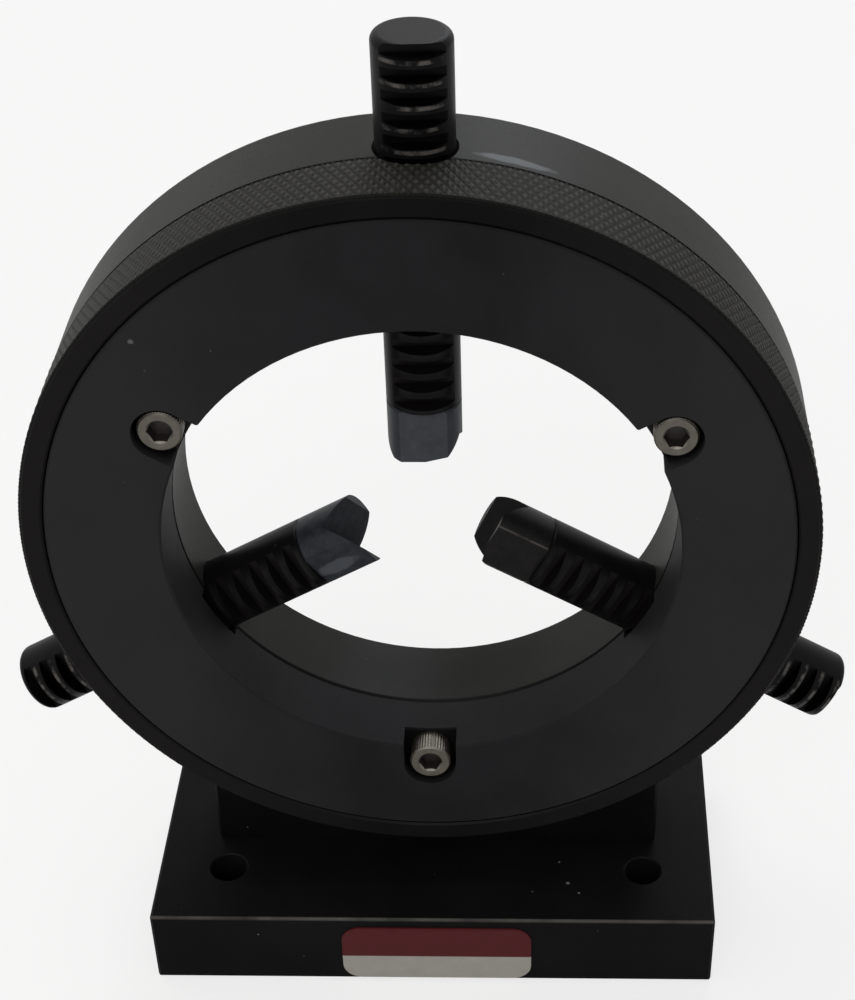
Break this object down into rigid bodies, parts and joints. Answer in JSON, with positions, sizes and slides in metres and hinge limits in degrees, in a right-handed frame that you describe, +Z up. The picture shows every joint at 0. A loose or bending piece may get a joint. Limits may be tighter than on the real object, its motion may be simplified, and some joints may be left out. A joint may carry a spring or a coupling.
{
  "type": "optical lens mount",
  "caption": "Self-centring lens holder: a knurled scroll ring moves toothed jaw rods in and out of a round housing on a drilled base plate.",
  "frame": {"origin": "middle of the underside of the base plate, on the bench", "axes": "+Z up, +X to the right seen from the front, -Y towards the front, along the optical axis"},
  "size_m": [0.145, 0.0508, 0.1729],
  "materials": {
    "anodised_black": "black anodised, matt",
    "anodised_satin": "black anodised, satin",
    "anodised_dark": "black anodised, satin, machined",
    "jaw_plastic": "hard grey plastic, machined",
    "dark_steel": "black oxide",
    "bright_steel": "stainless, satin"
  },
  "bodies": {
    "stand": {"base_plate": "anodised_black", "pedestal": "anodised_satin", "housing": "anodised_satin", "front_plate": "anodised_black", "plate_screw_left": "bright_steel", "plate_screw_right": "bright_steel", "plate_screw_bottom": "bright_steel", "saddle_screw_left": "dark_steel", "saddle_screw_right": "dark_steel", "base_screw_left": "dark_steel", "base_screw_right": "dark_steel"},
    "scroll": {"scroll_ring": "anodised_dark"},
    "jaw_top": {"jaw_rod_top": "anodised_dark", "jaw_tip_top": "jaw_plastic", "jaw_stud_top": "dark_steel"},
    "jaw_left": {"jaw_rod_left": "anodised_dark", "jaw_tip_left": "jaw_plastic", "jaw_stud_left": "dark_steel"},
    "jaw_right": {"jaw_rod_right": "anodised_dark", "jaw_tip_right": "jaw_plastic", "jaw_stud_right": "dark_steel"}
  },
  "joints": [
    {"name": "scroll_turn", "type": "hinge", "parent": "stand", "child": "scroll", "pos_m": [0, -0.0115, 0.0921], "axis": [0, -1, 0], "range_deg": [-636, 2966]},
    {"name": "jaw_top_slide", "type": "slide", "parent": "stand", "child": "jaw_top", "axis": [0, 0, 1], "range_m": [-0.0061, 0.0281]},
    {"name": "jaw_left_slide", "type": "slide", "parent": "stand", "child": "jaw_left", "axis": [-0.866, 0, -0.5], "range_m": [-0.0061, 0.0281]},
    {"name": "jaw_right_slide", "type": "slide", "parent": "stand", "child": "jaw_right", "axis": [0.866, 0, -0.5], "range_m": [-0.0061, 0.0281]}
  ],
  "couplings": [
    {"joint": "jaw_top_slide", "follows": "scroll_turn", "m_per_rad": 0.00054113},
    {"joint": "jaw_left_slide", "follows": "scroll_turn", "m_per_rad": 0.00054113},
    {"joint": "jaw_right_slide", "follows": "scroll_turn", "m_per_rad": 0.00054113}
  ]
}
